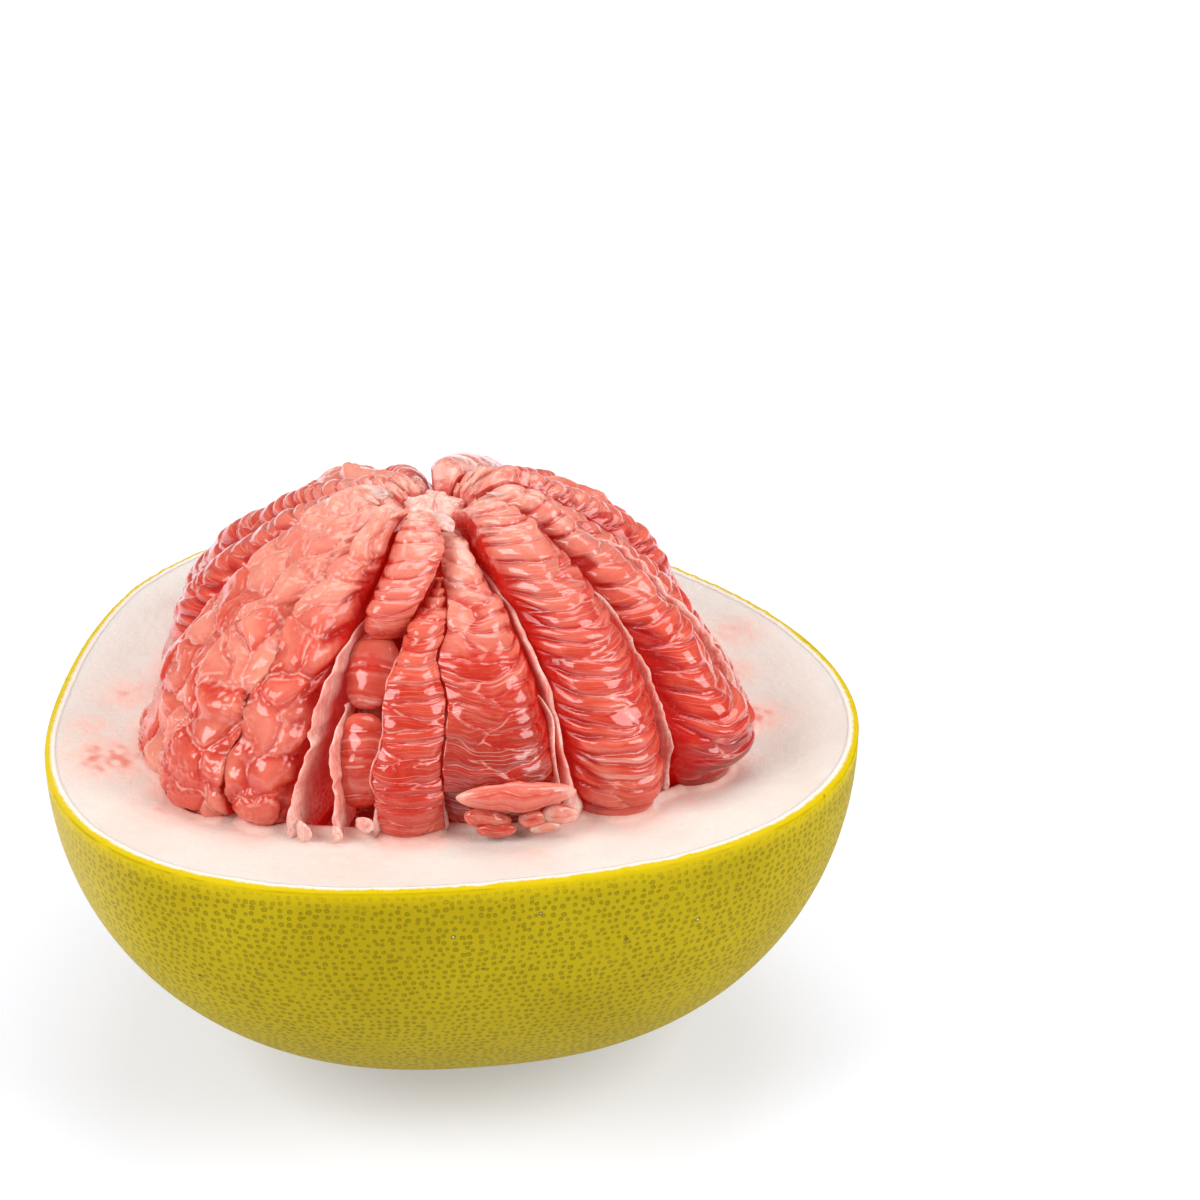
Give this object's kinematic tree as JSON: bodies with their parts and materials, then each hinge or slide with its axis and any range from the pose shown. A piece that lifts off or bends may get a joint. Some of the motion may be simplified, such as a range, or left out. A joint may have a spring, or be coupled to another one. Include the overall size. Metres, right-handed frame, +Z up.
{
  "type": "pomelo",
  "caption": "Opened pomelo: its ball of red segments stands bare in the lower half of its thick white and yellow peel.",
  "frame": {"origin": "on the small flat spot that the fruit rests on, straight under its core", "axes": "+Z up along the core to the top of the flesh; -Y towards the side with the broken segments; the cut face of the peel is level"},
  "size_m": [0.1602, 0.1611, 0.1191],
  "materials": {
    "rind": "waxy yellow-green peel skin with fine oil glands",
    "pith": "soft, matte, spongy white",
    "membrane": "thin, moist, pinkish white skin",
    "flesh": "wet, translucent, salmon-red juice sacs"
  },
  "bodies": {
    "root": {"rind": "rind", "pith": "pith", "core_and_membranes": "membrane", "segment_01": "flesh", "segment_02": "flesh", "segment_03": "flesh", "segment_04": "flesh", "segment_05": "flesh", "segment_06": "flesh", "segment_07": "flesh", "segment_08": "flesh", "segment_09": "flesh", "segment_10": "flesh", "segment_11": "flesh", "segment_12": "flesh", "segment_13": "flesh", "segment_14": "flesh", "segment_15": "flesh", "segment_16": "flesh", "segment_17": "flesh"}
  },
  "joints": []
}
